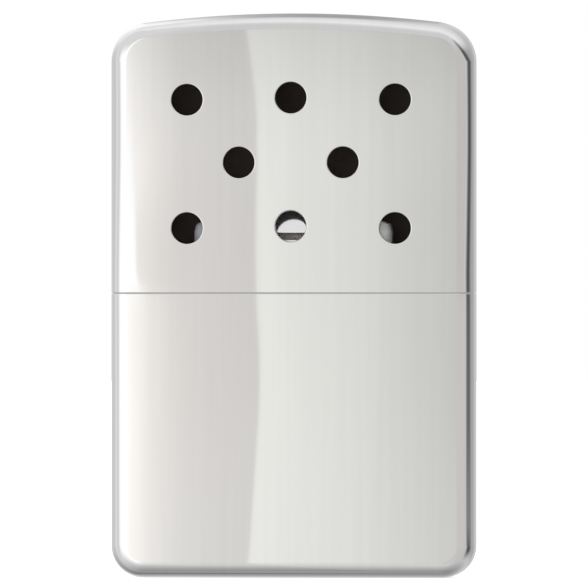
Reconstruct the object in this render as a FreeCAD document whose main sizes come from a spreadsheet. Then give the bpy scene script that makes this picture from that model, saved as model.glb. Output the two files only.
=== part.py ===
import FreeCAD, Part

import math
import os

import Sketcher

# A catalytic hand warmer. Its flask-shaped case is drawn in two halves: a pierced lid, and a
# fuel tank packed with cotton. The lid slides on a collar in the tank's mouth, and inside it a
# catalytic burner grips the tank's filler neck.
# The case stands upright: +Z up, the pierced face towards -Y, the origin in the middle of its foot.

# Driving sizes, in millimetres and degrees.
SIZES = {
    # the closed case, outside
    "case_width": 66.0,
    "case_depth": 13.0,
    "case_height": 102.2,
    "foot_corner": 5.8,
    "top_corner": 7.2,
    "top_dome": 220.0,
    "face_crown": 600.0,
    "face_rounding": 3.0,
    "shell_wall": 0.5,
    "seam_height": 51.6,
    "seam_gap": 0.1,
    # vents in the lid's front, in three rows that arch up a little in the middle
    "vent_diameter": 5.6,
    "vent_pitch": 18.9,
    "vent_low_row": 63.3,
    "vent_row_spacing": 11.62,
    "vent_arch": 0.34,
    # collar in the tank's mouth, which the lid slides over
    "lid_clearance": 0.05,
    "collar_wall": 0.4,
    "collar_above_seam": 6.0,
    "collar_below_seam": 5.0,
    # deck across the collar
    "solder_clearance": 0.05,
    "deck_wall": 0.4,
    "deck_above_seam": 0.4,
    "deck_rim": 2.5,
    # filler neck through the deck
    "neck_wall": 0.4,
    "neck_below_deck": 1.5,
    "neck_flange": 1.2,
    # catalytic burner
    "burner_length": 36.0,
    "burner_width": 8.2,
    "burner_wall": 0.35,
    "burner_clearance": 0.05,
    "burner_seat_gap": 0.1,
    "skirt_height": 5.9,
    "neck_top_gap": 0.3,
    "cover_lap": 1.5,
    "cover_shoulder": 4.3,
    "cover_height": 9.2,
    "cover_lean": 16.5,
    "cover_rounding": 1.2,
    "shoulder_rounding": 0.6,
    "press_clearance": 0.05,
    "window_length": 9.6,
    "window_height": 1.4,
    "window_pitch": 11.0,
    "window_below_shoulder": 0.25,
    "tray_wall": 0.3,
    "tray_hole": 1.8,
    "tray_pitch": 3.2,
    "gauze_wall": 0.25,
    # soft fillings
    "soft_clearance": 0.3,
    "mat_clearance": 0.2,
    "mat_height": 4.7,
    "neck_cotton_height": 2.0,
}

WAD_NAMES = ("bottom", "middle", "top")
VENT_ROWS = ((-1, 0, 1), (-0.5, 0.5), (-1, 0, 1))
WINDOW_PLACES = (-1, 0, 1)
TRAY_COLUMNS = (-4, -3, -2, -1, 0, 1, 2, 3, 4)
TRAY_ROWS = (-0.5, 0.5)

# Heights that several pieces share.
LID_LOW = "(sizes.seam_height + sizes.seam_gap / 2)"
TANK_TOP = "(sizes.seam_height - sizes.seam_gap / 2)"
DECK_LOW = "(sizes.seam_height + sizes.deck_above_seam)"
DECK_TOP = "(%s + sizes.deck_wall)" % DECK_LOW
NECK_LOW = "(%s - sizes.neck_below_deck)" % DECK_LOW
SKIRT_LOW = "(%s + sizes.burner_seat_gap)" % DECK_TOP
SKIRT_TOP = "(%s + sizes.skirt_height)" % SKIRT_LOW
NECK_TOP = "(%s - sizes.neck_top_gap)" % SKIRT_TOP
TRAY_TOP = "(%s + sizes.tray_wall)" % SKIRT_TOP
SHOULDER = "(%s + sizes.cover_shoulder)" % SKIRT_TOP
COVER_TOP = "(%s + sizes.cover_height)" % SKIRT_TOP

# How far each layer of the case lies inside its outside.
COLLAR_INSET = "(sizes.shell_wall + sizes.lid_clearance)"
COLLAR_BORE_INSET = "(%s + sizes.collar_wall)" % COLLAR_INSET
DECK_INSET = "(%s + sizes.solder_clearance)" % COLLAR_BORE_INSET
DECK_CUP_INSET = "(%s + sizes.deck_wall)" % DECK_INSET
WAD_INSET = "(%s + sizes.soft_clearance)" % COLLAR_BORE_INSET

doc = FreeCAD.newDocument("HandWarmer")
sheet = doc.addObject("Spreadsheet::Sheet", "sizes")
for row, (alias, size) in enumerate(SIZES.items(), start=1):
    sheet.set("A%d" % row, alias)
    sheet.set("B%d" % row, str(size))
    sheet.setAlias("B%d" % row, alias)
doc.recompute()


def number(expression):
    """What an expression of the sheet's sizes comes to."""
    return sheet.evalExpression(expression)


def new_object(kind, name):
    """A document object whose label is its name."""
    thing = doc.addObject(kind, name)
    thing.Label = name
    return thing


def new_sketch(body, name, plane):
    """A sketch on one of a body's own origin planes."""
    planes = {feature.Role: feature for feature in body.Origin.OriginFeatures}
    sketch = body.newObject("Sketcher::SketchObject", name)
    sketch.AttachmentSupport = (planes[plane], [""])
    sketch.MapMode = "FlatFace"
    return sketch


def line(x_start, y_start, x_end, y_end):
    return Part.LineSegment(FreeCAD.Vector(x_start, y_start), FreeCAD.Vector(x_end, y_end))


def arc(x, y, radius, start_degrees, end_degrees):
    circle = Part.Circle(FreeCAD.Vector(x, y), FreeCAD.Vector(0, 0, 1), radius)
    return Part.ArcOfCircle(circle, math.radians(start_degrees), math.radians(end_degrees))


def relate(sketch, kind, *places):
    """A geometric constraint of a sketch."""
    sketch.addConstraint(Sketcher.Constraint(kind, *places))


def dimension(sketch, kind, places, expression):
    """A dimension of a sketch, bound to the sheet."""
    index = sketch.addConstraint(Sketcher.Constraint(kind, *places, number(expression)))
    sketch.setExpression("Constraints[%d]" % index, expression)


def join_smoothly(sketch, curves):
    """Join each curve's end to the next one's start, tangent, round a closed outline."""
    for here, after in zip(curves, curves[1:] + curves[:1]):
        relate(sketch, "Tangent", here, 2, after, 1)


def pad(body, name, sketch, length, side="One side"):
    feature = body.newObject("PartDesign::Pad", name)
    feature.Profile = sketch
    feature.SideType = side
    feature.setExpression("Length", length)
    doc.recompute()
    return feature


def round_edges(body, name, base, chosen, radius):
    """Round the edges of a feature that chosen picks."""
    fillet = body.newObject("PartDesign::Fillet", name)
    edges = [index for index, edge in enumerate(base.Shape.Edges, start=1) if chosen(edge)]
    fillet.Base = (base, ["Edge%d" % index for index in edges])
    fillet.setExpression("Radius", radius)
    doc.recompute()
    return fillet


def case_outline(body, name, inset):
    """Front outline of the case, drawn in: flat foot, rounded corners and a domed top."""
    half_width = "(sizes.case_width / 2 - %s)" % inset
    height = "(sizes.case_height - 2 * %s)" % inset
    half = number(half_width)
    top = number(height)
    foot = number("sizes.foot_corner - %s" % inset)
    corner = number("sizes.top_corner - %s" % inset)
    dome = number("sizes.top_dome - %s" % inset)
    lean = math.asin((half - corner) / (dome - corner))
    lean_degrees = math.degrees(lean)
    shoulder = top - dome + (dome - corner) * math.cos(lean)

    sketch = new_sketch(body, name, "XZ_Plane")
    sketch.setExpression("AttachmentOffset.Base.y", inset)
    sketch.addGeometry([
        line(foot - half, 0, half - foot, 0),
        arc(half - foot, foot, foot, -90, 0),
        line(half, foot, half, shoulder),
        arc(half - corner, shoulder, corner, 0, 90 - lean_degrees),
        arc(0, top - dome, dome, 90 - lean_degrees, 90),
        arc(0, top - dome, dome, 90, 90 + lean_degrees),
        arc(corner - half, shoulder, corner, 90 + lean_degrees, 180),
        line(-half, shoulder, -half, foot),
        arc(foot - half, foot, foot, 180, 270),
    ])
    outline = list(range(9))
    bottom, foot_right, right, top_right, dome_right, dome_left, top_left, left, foot_left = outline
    join_smoothly(sketch, outline)
    relate(sketch, "Horizontal", bottom)
    relate(sketch, "Vertical", right)
    relate(sketch, "Vertical", left)
    relate(sketch, "PointOnObject", bottom, 1, -1)
    relate(sketch, "PointOnObject", dome_right, 2, -2)
    relate(sketch, "PointOnObject", dome_right, 3, -2)
    relate(sketch, "Equal", foot_right, foot_left)
    relate(sketch, "Equal", top_right, top_left)
    relate(sketch, "Equal", dome_right, dome_left)
    dimension(sketch, "DistanceX", (-1, 1, right, 1), half_width)
    dimension(sketch, "DistanceX", (left, 1, -1, 1), half_width)
    dimension(sketch, "DistanceY", (-1, 1, dome_right, 2), height)
    dimension(sketch, "Radius", (foot_right,), "sizes.foot_corner - %s" % inset)
    dimension(sketch, "Radius", (top_right,), "sizes.top_corner - %s" % inset)
    dimension(sketch, "Radius", (dome_right,), "sizes.top_dome - %s" % inset)
    return sketch


def crown_outline(body, name, inset):
    """Plan of what the crown of the two faces leaves off: everything beyond two shallow arcs."""
    crown = "(sizes.face_crown - %s)" % inset
    centre = "(sizes.face_crown - sizes.case_depth / 2)"
    reach = number("sizes.case_width")
    depth = number("sizes.case_depth")
    radius = number(crown)
    away = number(centre)
    spread = math.degrees(math.asin(reach / radius))
    end = away - radius * math.cos(math.radians(spread))

    sketch = new_sketch(body, name, "XY_Plane")
    for facing, middle_degrees in ((-1, 270), (1, 90)):
        curve = arc(0, -facing * away, radius, middle_degrees - spread, middle_degrees + spread)
        first = sketch.addGeometry([
            curve,
            line(-facing * reach, -facing * end, -facing * reach, facing * depth),
            line(-facing * reach, facing * depth, facing * reach, facing * depth),
            line(facing * reach, facing * depth, facing * reach, -facing * end),
        ])[0]
        face, near, back, far = range(first, first + 4)
        relate(sketch, "Coincident", face, 2, near, 1)
        relate(sketch, "Coincident", near, 2, back, 1)
        relate(sketch, "Coincident", back, 2, far, 1)
        relate(sketch, "Coincident", far, 2, face, 1)
        relate(sketch, "Vertical", near)
        relate(sketch, "Horizontal", back)
        relate(sketch, "Vertical", far)
        relate(sketch, "PointOnObject", face, 3, -2)
        dimension(sketch, "Radius", (face,), crown)
        dimension(sketch, "DistanceY", (-1, 1, face, 3), "%d * %s" % (-facing, centre))
        dimension(sketch, "DistanceY", (-1, 1, back, 1), "%d * sizes.case_depth" % facing)
        dimension(sketch, "DistanceX", (-1, 1, near, 1), "%d * sizes.case_width" % -facing)
        dimension(sketch, "DistanceX", (-1, 1, far, 1), "%d * sizes.case_width" % facing)
    return sketch


def case_form(name, inset):
    """The whole closed case as one solid, drawn in all round by inset."""
    body = new_object("PartDesign::Body", name)
    outline = case_outline(body, name + "_outline", inset)
    block = pad(body, name + "_block", outline, "sizes.case_depth - 2 * %s" % inset, "Symmetric")
    crowned = body.newObject("PartDesign::Pocket", name + "_crowned")
    crowned.Profile = crown_outline(body, name + "_crown", inset)
    crowned.Type = "ThroughAll"
    crowned.Reversed = True
    doc.recompute()
    if crowned.Shape.Volume >= block.Shape.Volume:
        raise ValueError("%s: the crown cuts nothing" % name)
    crown = number("sizes.face_crown - %s" % inset)
    faces = [face for face in crowned.Shape.Faces
             if isinstance(face.Surface, Part.Cylinder) and abs(face.Surface.Radius - crown) < 1]
    rims = [edge for face in faces for edge in face.Edges]
    round_edges(body, name + "_rounded", crowned,
                lambda edge: any(edge.isSame(rim) for rim in rims),
                "sizes.face_rounding - %s" % inset)
    return body


def slab(name, low, high):
    """Everything between two heights, across the whole case."""
    box = new_object("Part::Box", name)
    box.setExpression("Length", "2 * sizes.case_width")
    box.setExpression("Width", "2 * sizes.case_depth")
    box.setExpression("Height", "%s - %s" % (high, low))
    box.setExpression("Placement.Base.x", "-sizes.case_width")
    box.setExpression("Placement.Base.y", "-sizes.case_depth")
    box.setExpression("Placement.Base.z", low)
    return box


def common(name, base, tool):
    thing = new_object("Part::Common", name)
    thing.Base = base
    thing.Tool = tool
    return thing


def fuse(name, *pieces):
    thing = new_object("Part::MultiFuse", name)
    thing.Shapes = list(pieces)
    return thing


def cut(name, base, tool):
    thing = new_object("Part::Cut", name)
    thing.Base = base
    thing.Tool = tool
    doc.recompute()
    if thing.Shape.Volume >= base.Shape.Volume:
        raise ValueError("%s: the cut takes nothing off" % name)
    return thing


def punch(name, diameter, height, place):
    """A round punch along Z from a place given as three expressions."""
    cylinder = new_object("Part::Cylinder", name)
    cylinder.setExpression("Radius", "%s / 2" % diameter)
    cylinder.setExpression("Height", height)
    for axis, expression in zip("xyz", place):
        cylinder.setExpression("Placement.Base." + axis, expression)
    return cylinder


def drawn_in(outline, amount):
    """Length and width of a stadium outline, drawn in all round."""
    return tuple("(%s - 2 * (%s))" % (side, amount) for side in outline)


def stadium(sketch, length, width):
    """A stadium outline about the sketch's origin: two half circles and two straight sides."""
    half_straight = "((%s - %s) / 2)" % (length, width)
    half = number(half_straight)
    radius = number("%s / 2" % width)
    first = sketch.addGeometry([
        arc(half, 0, radius, -90, 90),
        line(half, radius, -half, radius),
        arc(-half, 0, radius, 90, 270),
        line(-half, -radius, half, -radius),
    ])[0]
    right_end, left_end = first, first + 2
    join_smoothly(sketch, list(range(first, first + 4)))
    relate(sketch, "Equal", right_end, left_end)
    relate(sketch, "PointOnObject", right_end, 3, -1)
    relate(sketch, "PointOnObject", left_end, 3, -1)
    dimension(sketch, "Radius", (right_end,), "%s / 2" % width)
    dimension(sketch, "DistanceX", (-1, 1, right_end, 3), half_straight)
    dimension(sketch, "DistanceX", (left_end, 3, -1, 1), half_straight)


def stadium_pad(body, name, outline, low, high, bore=None):
    """Pad a body upwards with a stadium, hollow if it has a bore."""
    sketch = new_sketch(body, name + "_plan", "XY_Plane")
    sketch.setExpression("AttachmentOffset.Base.z", low)
    stadium(sketch, *outline)
    if bore:
        stadium(sketch, *bore)
    return pad(body, name, sketch, "%s - %s" % (high, low))


def stadium_prism(name, outline, low, high, bore=None):
    """An upright prism on a stadium, hollow if it has a bore."""
    body = new_object("PartDesign::Body", name)
    stadium_pad(body, name + "_prism", outline, low, high, bore)
    return body


def round_level_edges(body, name, base, height, radius):
    """Round the edges of a feature that lie level at a height."""
    level = number(height)
    return round_edges(body, name, base,
                       lambda edge: all(abs(point.Z - level) < 1e-6 for point in edge.Vertexes),
                       radius)


def cap_form(name, outline, low, high, rounding):
    """The burner's cap as one solid: upright to its shoulder, then leaning in to a rounded top."""
    body = new_object("PartDesign::Body", name)
    stadium_pad(body, name + "_upright", outline, low, SHOULDER)
    crown = stadium_pad(body, name + "_crown", outline, SHOULDER, high)
    crown.setExpression("TaperAngle", "-sizes.cover_lean")
    doc.recompute()
    return body, round_level_edges(body, name + "_rounded", crown, high, rounding)


def window_punch(name, place, height):
    """A stadium punch along Y through the whole burner, its middle at a place along it."""
    body = new_object("PartDesign::Body", name)
    sketch = new_sketch(body, name + "_front", "XZ_Plane")
    stadium(sketch, "sizes.window_length", "sizes.window_height")
    pad(body, name + "_prism", sketch, "2 * sizes.burner_width", "Symmetric")
    body.setExpression("Placement.Base.x", place)
    body.setExpression("Placement.Base.z", height)
    return body


case_outside = case_form("case_outside", "0")
case_inside = case_form("case_inside", "sizes.shell_wall")


def lid_shell():
    """The drawn lid: the upper half of the case, with vents punched through its front."""
    vents = []
    for row, columns in enumerate(VENT_ROWS):
        for column in columns:
            across = "%s * sizes.vent_pitch" % column
            arched = "sizes.vent_arch * %s" % (1 - column ** 2)
            up = "sizes.vent_low_row + %d * sizes.vent_row_spacing + %s" % (row, arched)
            name = "vent_%d" % (len(vents) + 1)
            vent = punch(name, "sizes.vent_diameter", "sizes.case_depth", (across, "0", up))
            vent.Placement.Rotation = FreeCAD.Rotation(FreeCAD.Vector(1, 0, 0), 90)
            vents.append(vent)
    upper = slab("lid_zone", LID_LOW, "sizes.case_height")
    blank = common("lid_blank", case_outside, upper)
    hollow = cut("lid_hollow", blank, case_inside)
    return cut("lid_shell", hollow, fuse("vents", *vents))


def tank_shell():
    """The drawn fuel tank: the lower half of the case, open at its mouth."""
    lower = slab("tank_zone", "0", TANK_TOP)
    blank = common("tank_blank", case_outside, lower)
    return cut("tank_shell", blank, case_inside)


def lid_collar():
    """The sleeve soldered in the tank's mouth, which stands up for the lid to slide over."""
    low = "(sizes.seam_height - sizes.collar_below_seam)"
    high = "(sizes.seam_height + sizes.collar_above_seam)"
    outside = case_form("collar_outside", COLLAR_INSET)
    inside = case_form("collar_inside", COLLAR_BORE_INSET)
    band = common("collar_band", outside, slab("collar_zone", low, high))
    return cut("lid_collar", band, inside)


# The burner's sheet metal layers, from its cover in to the neck's mouth, as stadium outlines.
COVER = ("sizes.burner_length", "sizes.burner_width")
COVER_BORE = drawn_in(COVER, "sizes.burner_wall")
SKIRT = drawn_in(COVER_BORE, "sizes.press_clearance")
SKIRT_BORE = drawn_in(SKIRT, "sizes.burner_wall")
NECK = drawn_in(SKIRT_BORE, "sizes.burner_clearance")
NECK_BORE = drawn_in(NECK, "sizes.neck_wall")


def tank_deck():
    """The shallow cup that closes the tank inside the collar, rim up, round the filler neck."""
    rim_top = "(%s + sizes.deck_rim)" % DECK_LOW
    outside = case_form("deck_outside", DECK_INSET)
    inside = case_form("deck_inside", DECK_CUP_INSET)
    blank = common("deck_blank", outside, slab("deck_zone", DECK_LOW, rim_top))
    cup = common("deck_cup", inside, slab("deck_cup_zone", DECK_TOP, "sizes.case_height"))
    hole_outline = drawn_in(NECK, "-sizes.solder_clearance")
    hole = stadium_prism("deck_hole", hole_outline, NECK_LOW, NECK_TOP)
    return cut("tank_deck", blank, fuse("deck_tools", cup, hole))


def filler_neck():
    """The flattened tube through the deck, with a flange soldered to the deck's underside."""
    flange_low = "(%s - sizes.neck_wall)" % DECK_LOW
    flange_outline = drawn_in(NECK, "-sizes.neck_flange")
    tube = stadium_prism("neck_tube", NECK, NECK_LOW, NECK_TOP, bore=NECK_BORE)
    flange = stadium_prism("neck_rim", flange_outline, flange_low, DECK_LOW, bore=NECK_BORE)
    return fuse("filler_neck", tube, flange)


def fuel_cotton():
    """The three wads of cotton that fill the tank, one on another."""
    low = "(sizes.shell_wall + sizes.soft_clearance)"
    high = "(%s - sizes.soft_clearance)" % NECK_LOW
    share = "((%s - %s + sizes.soft_clearance) / %d)" % (high, low, len(WAD_NAMES))
    packing = case_form("cotton_packing", WAD_INSET)
    wads = []
    for place, which in enumerate(WAD_NAMES):
        name = "fuel_cotton_" + which
        wad_low = "(%s + %d * %s)" % (low, place, share)
        wad_high = "(%s + %s - sizes.soft_clearance)" % (wad_low, share)
        wads.append(common(name, packing, slab(name + "_zone", wad_low, wad_high)))
    return wads


def neck_cotton():
    """The wad that reaches up into the neck."""
    outline = drawn_in(NECK_BORE, "sizes.soft_clearance")
    top = "(%s + sizes.neck_cotton_height)" % NECK_LOW
    return stadium_prism("neck_cotton", outline, NECK_LOW, top)


def burner_skirt():
    """The sleeve that grips the neck."""
    return stadium_prism("burner_skirt", SKIRT, SKIRT_LOW, SKIRT_TOP, bore=SKIRT_BORE)


def catalyst_tray():
    """The pierced plate on the skirt that lets vapour up into the catalyst."""
    outline = drawn_in(COVER_BORE, "sizes.press_clearance")
    plate = stadium_prism("tray_plate", outline, SKIRT_TOP, TRAY_TOP)
    holes = []
    for row in TRAY_ROWS:
        for column in TRAY_COLUMNS:
            along = "%s * sizes.tray_pitch" % column
            across = "%s * sizes.tray_pitch" % row
            name = "tray_hole_%d" % (len(holes) + 1)
            place = (along, across, "%s - sizes.tray_wall" % SKIRT_TOP)
            holes.append(punch(name, "sizes.tray_hole", "3 * sizes.tray_wall", place))
    return cut("catalyst_tray", plate, fuse("tray_holes", *holes))


def burner_cover():
    """The cap over the catalyst: windows front and back, and above them walls that lean in."""
    low = "(%s - sizes.cover_lap)" % SKIRT_TOP
    ceiling = "(%s - sizes.burner_wall)" % COVER_TOP
    inner_rounding = "sizes.cover_rounding - sizes.burner_wall"
    middle = "(%s - sizes.window_below_shoulder - sizes.window_height / 2)" % SHOULDER
    cap, rounded = cap_form("cover_cap", COVER, low, COVER_TOP, "sizes.cover_rounding")
    round_level_edges(cap, "cover_shoulder", rounded, SHOULDER, "sizes.shoulder_rounding")
    core, _ = cap_form("cover_core", COVER_BORE, SKIRT_LOW, ceiling, inner_rounding)
    tools = [core]
    for place in WINDOW_PLACES:
        name = "window_%d" % len(tools)
        tools.append(window_punch(name, "%d * sizes.window_pitch" % place, middle))
    return cut("burner_cover", cap, fuse("cover_tools", *tools))


def window_gauze():
    """The band of woven wire round the catalyst, behind the windows."""
    outside = drawn_in(COVER_BORE, "sizes.press_clearance")
    inside = drawn_in(outside, "sizes.gauze_wall")
    low = "(%s + sizes.press_clearance)" % TRAY_TOP
    return stadium_prism("window_gauze", outside, low, SHOULDER, bore=inside)


def catalyst_mat():
    """The pad of platinum coated glass fibre inside the gauze."""
    inset = "sizes.press_clearance + sizes.gauze_wall + sizes.mat_clearance"
    low = "(%s + sizes.mat_clearance)" % TRAY_TOP
    high = "(%s + sizes.mat_height)" % low
    return stadium_prism("catalyst_mat", drawn_in(COVER_BORE, inset), low, high)


nodes = [
    lid_shell(),
    tank_shell(),
    lid_collar(),
    tank_deck(),
    filler_neck(),
    *fuel_cotton(),
    neck_cotton(),
    burner_skirt(),
    catalyst_tray(),
    burner_cover(),
    window_gauze(),
    catalyst_mat(),
]
doc.recompute()

for thing in doc.Objects:
    if "Invalid" in thing.State or "Error" in thing.State:
        raise ValueError("%s failed: %s" % (thing.Name, thing.State))
for node in nodes:
    if node.Shape.isNull() or not node.Shape.isValid():
        raise ValueError("%s has no valid shape" % node.Label)
    if len(node.Shape.Solids) != 1:
        raise ValueError("%s is in %d solids" % (node.Label, len(node.Shape.Solids)))

os.makedirs("parts", exist_ok=True)
for node in nodes:
    node.Shape.exportStep("parts/%s.step" % node.Label)
    box = node.Shape.BoundBox
    print("%-20s %7.2f x %6.2f x %6.2f  z %6.2f to %6.2f  volume %9.2f"
          % (node.Label, box.XLength, box.YLength, box.ZLength, box.ZMin, box.ZMax, node.Shape.Volume))
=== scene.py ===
import math

import bpy
import numpy as np
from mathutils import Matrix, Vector, geometry, noise


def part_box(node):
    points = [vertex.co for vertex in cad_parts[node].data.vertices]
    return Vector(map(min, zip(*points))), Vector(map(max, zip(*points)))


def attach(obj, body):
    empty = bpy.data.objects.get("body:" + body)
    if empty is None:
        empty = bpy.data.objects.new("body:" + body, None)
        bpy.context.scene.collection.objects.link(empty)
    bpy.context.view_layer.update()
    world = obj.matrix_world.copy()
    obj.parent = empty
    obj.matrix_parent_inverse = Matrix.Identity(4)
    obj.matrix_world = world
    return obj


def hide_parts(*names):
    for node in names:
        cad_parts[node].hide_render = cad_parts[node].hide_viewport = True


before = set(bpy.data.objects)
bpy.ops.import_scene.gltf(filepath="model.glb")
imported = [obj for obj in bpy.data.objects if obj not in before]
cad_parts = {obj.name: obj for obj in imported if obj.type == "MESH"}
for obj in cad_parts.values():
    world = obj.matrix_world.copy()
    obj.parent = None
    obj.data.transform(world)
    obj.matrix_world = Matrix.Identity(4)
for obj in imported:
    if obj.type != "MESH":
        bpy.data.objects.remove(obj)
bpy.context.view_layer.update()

# ---- Tank shell ----
# The fuel tank is one deep drawn steel can, open at its mouth, with a flat foot, a broad
# crown over both faces and one soft rounding all round. It is polished and chrome plated.

# sizes are in millimetres, and MM turns them into the scene's metres
MM = 0.001


def box_of(node):
    """The low and the high corner of a node's box, in millimetres."""
    return [[round(part, 3) for part in end / MM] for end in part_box(node)]


tank_low, tank_high = box_of("tank_shell")
CASE_WIDTH = tank_high[0] - tank_low[0]
CASE_DEPTH = tank_high[1] - tank_low[1]
TANK_TOP = tank_high[2]
FOOT_CORNER = 5.8
FACE_CROWN = 600.0
FACE_ROUNDING = 3.0
SHELL_WALL = 0.5
TANK_RIM_ROLL = 0.22

# how finely a shell is drawn
FACE_SPACING = 3.0
CORNER_STEPS = 16
ROUNDING_STEPS = 10
RIM_STEPS = 5
HOLE_STEPS = 40
WELD_DECIMALS = 4
NET_TOLERANCE = 1e-5
HOLE_TOLERANCE = 0.001

# the places of a shell's two finishes
OUTSIDE = 0
INSIDE = 1


def linear(code):
    """A colour written as sRGB hex, as linear red, green, blue and alpha."""
    shades = [int(code[place:place + 2], 16) / 255 for place in (1, 3, 5)]
    return [s / 12.92 if s <= 0.04045 else ((s + 0.055) / 1.055) ** 2.4 for s in shades] + [1.0]


def add_node(tree, kind, inputs=(), out=None, stops=(), **settings):
    """Add a node with its settings and links. It gives the output named out, or else the first
    in use. inputs holds values, or the sockets that feed them, by name or in their order, and
    stops holds a ramp's positions and colours."""
    node = tree.nodes.new("ShaderNode" + kind)
    for name, setting in settings.items():
        setattr(node, name, setting)
    for place, source in inputs.items() if isinstance(inputs, dict) else enumerate(inputs):
        if isinstance(source, bpy.types.NodeSocket):
            tree.links.new(source, node.inputs[place])
        else:
            node.inputs[place].default_value = source
    if stops:
        elements = node.color_ramp.elements
        while len(elements) < len(stops):
            elements.new(1.0)
        for element, (position, colour) in zip(elements, stops):
            element.position = position
            element.color = colour
    return node.outputs[out] if out else next((end for end in node.outputs if end.enabled), None)


def new_material(name, **sockets):
    """A material with its uniform values on the shader's own sockets."""
    material = bpy.data.materials.new(name)
    material.use_nodes = True
    shader = material.node_tree.nodes["Principled BSDF"]
    for socket, setting in sockets.items():
        shader.inputs[socket.replace("_", " ")].default_value = setting
    return material, material.node_tree, shader


def feed(shader, **sources):
    """Link the outputs that vary over a surface into its shader's sockets."""
    for socket, source in sources.items():
        shader.id_data.links.new(source, shader.inputs[socket.replace("_", " ")])


def pattern(tree, lengths, detail, **more):
    """Noise fixed to a piece, its grain of these real lengths in millimetres along x, y and z."""
    place = add_node(tree, "TexCoord", out="Object")
    along = add_node(tree, "Mapping", {"Vector": place, "Scale": [1 / (length * MM) for length in lengths]})
    return add_node(tree, "TexNoise", {"Vector": along, "Scale": 1.0, "Detail": detail, **more})


def polished_plate():
    """Bright chrome plate over polished steel. The eye sees sharp reflections, and in them the
    faint upright lines of the polishing wheel and a slight haze from handling."""
    material, tree, shader = new_material("polished_chrome_plate", Metallic=1.0)
    # polishing lines some 40 mm long; 0.35 mm apart is coarser than a wheel leaves, so they show
    lines = pattern(tree, (0.35, 2, 40), 2)
    # haze wiped into upright streaks, 1.6 mm across
    haze = pattern(tree, (1.6, 8, 45), 3)
    tones = ((0.35, linear("#DEDEDE")), (0.6, linear("#E0E0E0")))
    colour = add_node(tree, "ValToRGB", {"Fac": haze}, stops=tones)
    dulled = add_node(tree, "MapRange", {"Value": haze, "From Min": 0.3, "From Max": 0.7,
                                         "To Min": 0.03, "To Max": 0.02})
    # waves of the pressed sheet, 14 mm long and two thousandths of a millimetre deep
    waves = pattern(tree, (14, 14, 14), 0)
    wavy = add_node(tree, "Bump", {"Height": waves, "Strength": 1.0, "Distance": 0.002 * MM})
    lined = add_node(tree, "Bump", {"Height": lines, "Strength": 1.0, "Distance": 0.00003 * MM,
                                    "Normal": wavy})
    feed(shader, Base_Color=colour, Roughness=dulled, Normal=lined)
    return material


def dull_steel():
    """Unplated drawn steel inside the shells, left grey from the press and darkened by heat
    and fuel: it shows hardly any reflection."""
    material, tree, shader = new_material("heat_dulled_drawn_steel", Metallic=0.7)
    # stains about 6 mm across
    stain = pattern(tree, (6, 6, 6), 4)
    tones = ((0.3, linear("#5C544E")), (0.7, linear("#756C65")))
    colour = add_node(tree, "ValToRGB", {"Fac": stain}, stops=tones)
    dulled = add_node(tree, "MapRange", {"Value": stain, "To Min": 0.5, "To Max": 0.7})
    feed(shader, Base_Color=colour, Roughness=dulled)
    return material


case_chrome = polished_plate()
inside_steel = dull_steel()


class Patchwork:
    """Gathers a piece's patches into one welded mesh. Each corner is a point and its normal."""

    def __init__(self):
        self.places = {}
        self.faces = []
        self.normals = []
        self.finishes = []

    def face(self, corners, finish=OUTSIDE):
        """One face. It is turned to look the way its normals do; corners that meet are dropped."""
        welded = [tuple(round(part, WELD_DECIMALS) for part in point) for point, _ in corners]
        places = [self.places.setdefault(point, len(self.places)) for point in welded]
        kept = [i for i, place in enumerate(places) if place != places[i - 1]]
        if len({places[i] for i in kept}) < 3:
            return
        facing = sum((Vector(corners[i][1]) for i in kept), Vector())
        if geometry.normal([Vector(corners[i][0]) for i in kept]).dot(facing) < 0:
            kept.reverse()
        self.faces.append([places[i] for i in kept])
        self.normals.extend(corners[i][1] for i in kept)
        self.finishes.append(finish)

    def grid(self, rows, finish=OUTSIDE, closed=False):
        """A patch from rows of corners, the last of each row joined to its first if closed."""
        columns = len(rows[0])
        for near, far in zip(rows, rows[1:]):
            for column in range(columns if closed else columns - 1):
                after = (column + 1) % columns
                self.face([near[column], near[after], far[after], far[column]], finish)

    def made(self, name, materials, exact=True):
        """The finished object, in metres, with the corners' own normals if they are exact."""
        mesh = bpy.data.meshes.new(name)
        mesh.from_pydata([Vector(place) * MM for place in self.places], [], self.faces)
        for material in materials:
            mesh.materials.append(material)
        mesh.polygons.foreach_set("material_index", self.finishes)
        mesh.polygons.foreach_set("use_smooth", [True] * len(self.faces))
        if exact:
            mesh.normals_split_custom_set([Vector(normal).normalized() for normal in self.normals])
        piece = bpy.data.objects.new(name, mesh)
        bpy.context.scene.collection.objects.link(piece)
        return piece


def arc_points(x, z, radius, start, end, steps):
    """Places on an arc of an outline, each with its outward direction."""
    turns = [math.radians(start + (end - start) * step / steps) for step in range(steps + 1)]
    return [(x + radius * math.cos(t), z + radius * math.sin(t), math.cos(t), math.sin(t)) for t in turns]


def straight(x_start, z_start, x_end, z_end, toward):
    """Places along a straight side, about one spacing apart, its ends left out."""
    pieces = max(1, round(math.hypot(x_end - x_start, z_end - z_start) / FACE_SPACING))
    return [(x_start + (x_end - x_start) * k / pieces, z_start + (z_end - z_start) * k / pieces, *toward)
            for k in range(1, pieces)]


def tank_outline(top):
    """Front outline of the tank from the left end of its mouth round the foot to the right end."""
    half = CASE_WIDTH / 2
    inner = half - FOOT_CORNER
    return [(-half, top, -1, 0),
            *straight(-half, top, -half, FOOT_CORNER, (-1, 0)),
            *arc_points(-inner, FOOT_CORNER, FOOT_CORNER, 180, 270, CORNER_STEPS),
            *straight(-inner, 0, inner, 0, (0, -1)),
            *arc_points(inner, FOOT_CORNER, FOOT_CORNER, -90, 0, CORNER_STEPS),
            *straight(half, FOOT_CORNER, half, top, (1, 0)),
            (half, top, 1, 0)]


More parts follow.
